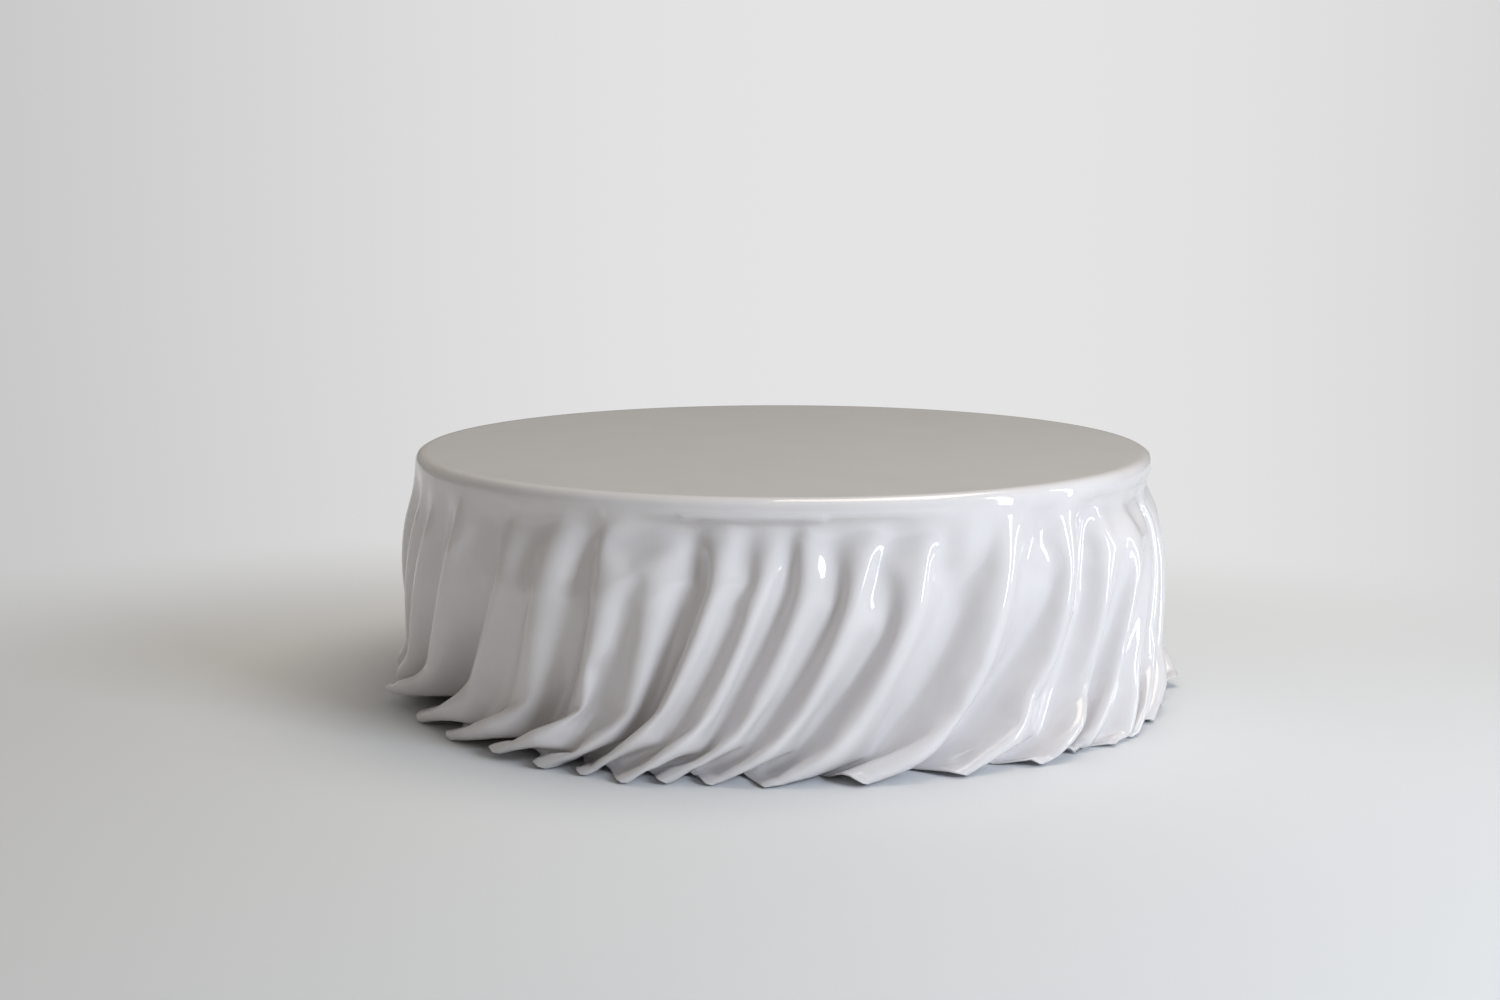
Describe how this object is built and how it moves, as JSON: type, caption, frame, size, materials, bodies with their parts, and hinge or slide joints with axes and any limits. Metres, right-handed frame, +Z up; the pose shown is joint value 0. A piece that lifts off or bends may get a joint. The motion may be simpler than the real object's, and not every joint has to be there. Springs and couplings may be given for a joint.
{
  "type": "round table with floor-length tablecloth",
  "caption": "Low round table fully covered by a glossy white round cloth that falls in close folds and pools a little on the floor.",
  "frame": {"origin": "on the floor under the centre of the round table", "axes": "+Z up along the table's axis; +X to the viewer's right and -Y towards the viewer who faces the front"},
  "size_m": [1.3098, 1.31, 0.4],
  "materials": {
    "satin_cloth": "glossy satin",
    "thread": "polyester thread",
    "plywood": "sanded birch plywood",
    "hardwood": "oiled beech",
    "zinc_steel": "zinc plated",
    "brass": "turned",
    "nylon": "moulded nylon"
  },
  "bodies": {
    "table": {"leg_front_left": "hardwood", "corner_block_front_left": "hardwood", "leg_front_right": "hardwood", "corner_block_front_right": "hardwood", "leg_back_left": "hardwood", "corner_block_back_left": "hardwood", "leg_back_right": "hardwood", "corner_block_back_right": "hardwood", "apron_right": "hardwood", "apron_back": "hardwood", "apron_left": "hardwood", "apron_front": "hardwood", "top_panel": "plywood", "top_lipping": "hardwood", "centre_rail": "hardwood", "rail_screws": "zinc_steel", "hanger_bolts": "zinc_steel", "hanger_washers": "zinc_steel", "hanger_nuts": "zinc_steel", "block_screws": "zinc_steel", "top_clips": "zinc_steel", "clip_screws": "zinc_steel", "foot_inserts": "brass"},
    "cloth": {"tablecloth": "satin_cloth", "hem_thread": "thread"},
    "foot_front_left": {"foot_pad_front_left": "nylon", "foot_stem_front_left": "zinc_steel"},
    "foot_front_right": {"foot_pad_front_right": "nylon", "foot_stem_front_right": "zinc_steel"},
    "foot_back_left": {"foot_pad_back_left": "nylon", "foot_stem_back_left": "zinc_steel"},
    "foot_back_right": {"foot_pad_back_right": "nylon", "foot_stem_back_right": "zinc_steel"}
  },
  "joints": [
    {"name": "cloth_lift", "type": "slide", "parent": "table", "child": "cloth", "axis": [0, 0, 1], "range_m": [0, 0.42]},
    {"name": "foot_front_left_level", "type": "slide", "parent": "table", "child": "foot_front_left", "axis": [0, 0, 1], "range_m": [0, 0.008]},
    {"name": "foot_front_right_level", "type": "slide", "parent": "table", "child": "foot_front_right", "axis": [0, 0, 1], "range_m": [0, 0.008]},
    {"name": "foot_back_left_level", "type": "slide", "parent": "table", "child": "foot_back_left", "axis": [0, 0, 1], "range_m": [0, 0.008]},
    {"name": "foot_back_right_level", "type": "slide", "parent": "table", "child": "foot_back_right", "axis": [0, 0, 1], "range_m": [0, 0.008]}
  ]
}
